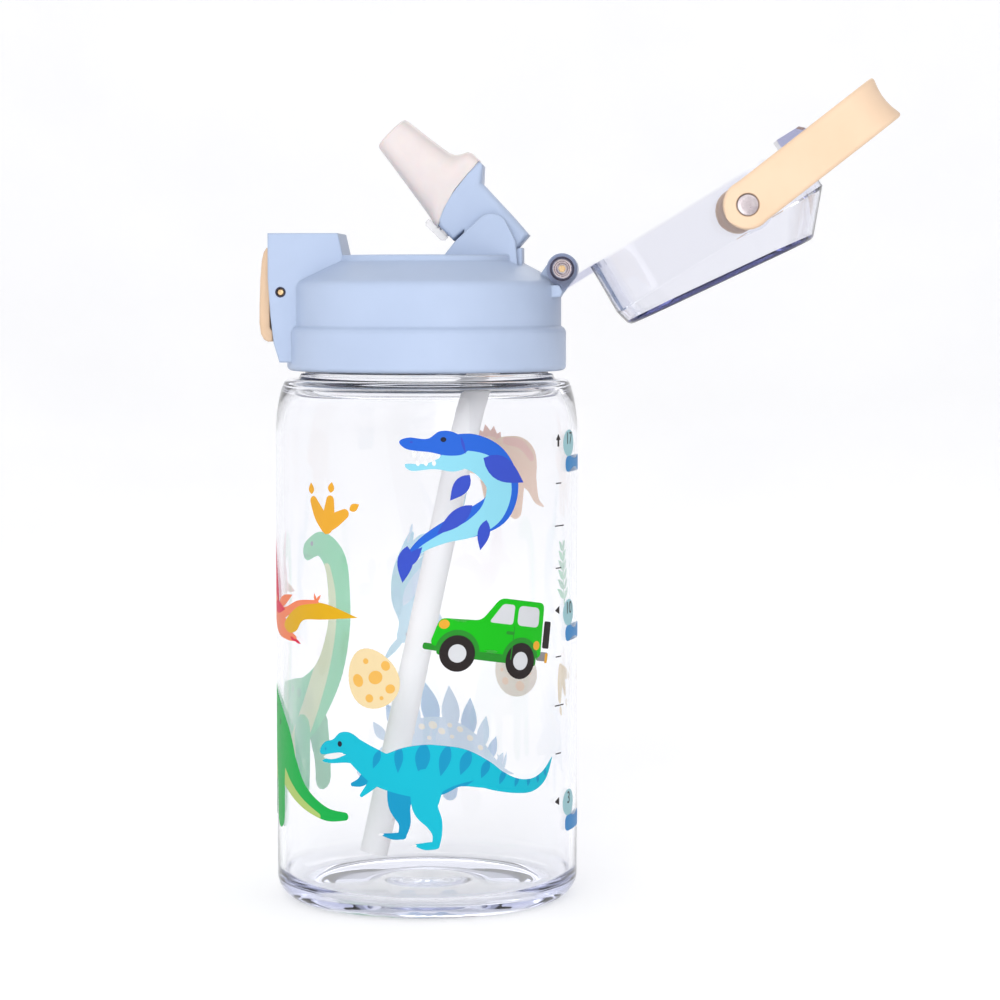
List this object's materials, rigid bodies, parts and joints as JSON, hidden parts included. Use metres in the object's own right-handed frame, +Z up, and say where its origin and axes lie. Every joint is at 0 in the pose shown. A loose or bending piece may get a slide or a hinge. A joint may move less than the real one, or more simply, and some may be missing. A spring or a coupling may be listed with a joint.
{
  "type": "kids straw water bottle",
  "caption": "Clear children's straw bottle with a screw lid, a pop-up spout under a flip-open cover with a push latch, and a swinging carry handle.",
  "frame": {"origin": "centre of the base, on the plane the bottle stands on", "axes": "+Z up along the bottle's axis, -X towards the latch and the drinking side, +X towards the cover's hinge, hinge axes along Y"},
  "size_m": [0.1569, 0.075, 0.2023],
  "materials": {
    "clear_body": "clear, glossy, faint lilac",
    "lid_blue": "matte pale blue",
    "silicone": "satin translucent white",
    "straw": "frosted white",
    "smoky_cover": "clear, glossy, smoky lilac",
    "strap": "satin cream",
    "button": "matte tan",
    "steel": "polished"
  },
  "bodies": {
    "bottle": {"bottle_body": "clear_body"},
    "seal": {"neck_seal": "silicone"},
    "lid": {"lid_cap": "lid_blue", "straw_adapter": "straw", "straw": "straw", "vent_valve": "silicone", "spout_pivot_near": "steel", "spout_pivot_far": "steel", "spout_seal": "silicone", "cover_hinge_pin": "steel", "hinge_ring_near": "steel", "hinge_ring_far": "steel", "cover_spring": "steel", "latch_pin": "steel", "latch_spring": "steel"},
    "spout": {"spout_body": "lid_blue", "mouthpiece": "silicone", "vent_plug": "silicone"},
    "cover": {"cover_shell": "smoky_cover", "rivet_near": "steel", "rivet_far": "steel"},
    "handle": {"handle_strap": "strap"},
    "latch": {"latch_button": "button"}
  },
  "joints": [
    {"name": "lid_rise", "type": "slide", "parent": "bottle", "child": "seal", "axis": [0, 0, 1], "range_m": [0, 0.006]},
    {"name": "lid_turn", "type": "hinge", "parent": "seal", "child": "lid", "pos_m": [0, 0, 0.148], "axis": [0, 0, 1], "range_deg": [0, 540]},
    {"name": "cover_hinge", "type": "hinge", "parent": "lid", "child": "cover", "pos_m": [0.0338, 0, 0.1564], "axis": [0, -1, 0], "range_deg": [0, 148.2], "stiffness_Nm_per_rad": 0.006, "springref_deg": -34.38, "deforming": ["cover_spring"]},
    {"name": "spout_fold", "type": "hinge", "parent": "lid", "child": "spout", "pos_m": [0.0165, 0, 0.1649], "axis": [0, -1, 0], "range_deg": [0, 45]},
    {"name": "handle_swing", "type": "hinge", "parent": "cover", "child": "handle", "pos_m": [0.07814, 0, 0.17142], "axis": [0, 1, 0], "range_deg": [-20, 126]},
    {"name": "latch_press", "type": "hinge", "parent": "lid", "child": "latch", "pos_m": [-0.0351, 0, 0.1507], "axis": [0, -1, 0], "range_deg": [0, 10], "stiffness_Nm_per_rad": 0.15, "springref_deg": -5.73, "deforming": ["latch_spring"]}
  ],
  "couplings": [
    {"joint": "lid_turn", "follows": "lid_rise", "rad_per_m": 1570.8},
    {"joint": "spout_fold", "follows": "cover_hinge", "ratio": 0.3036}
  ]
}
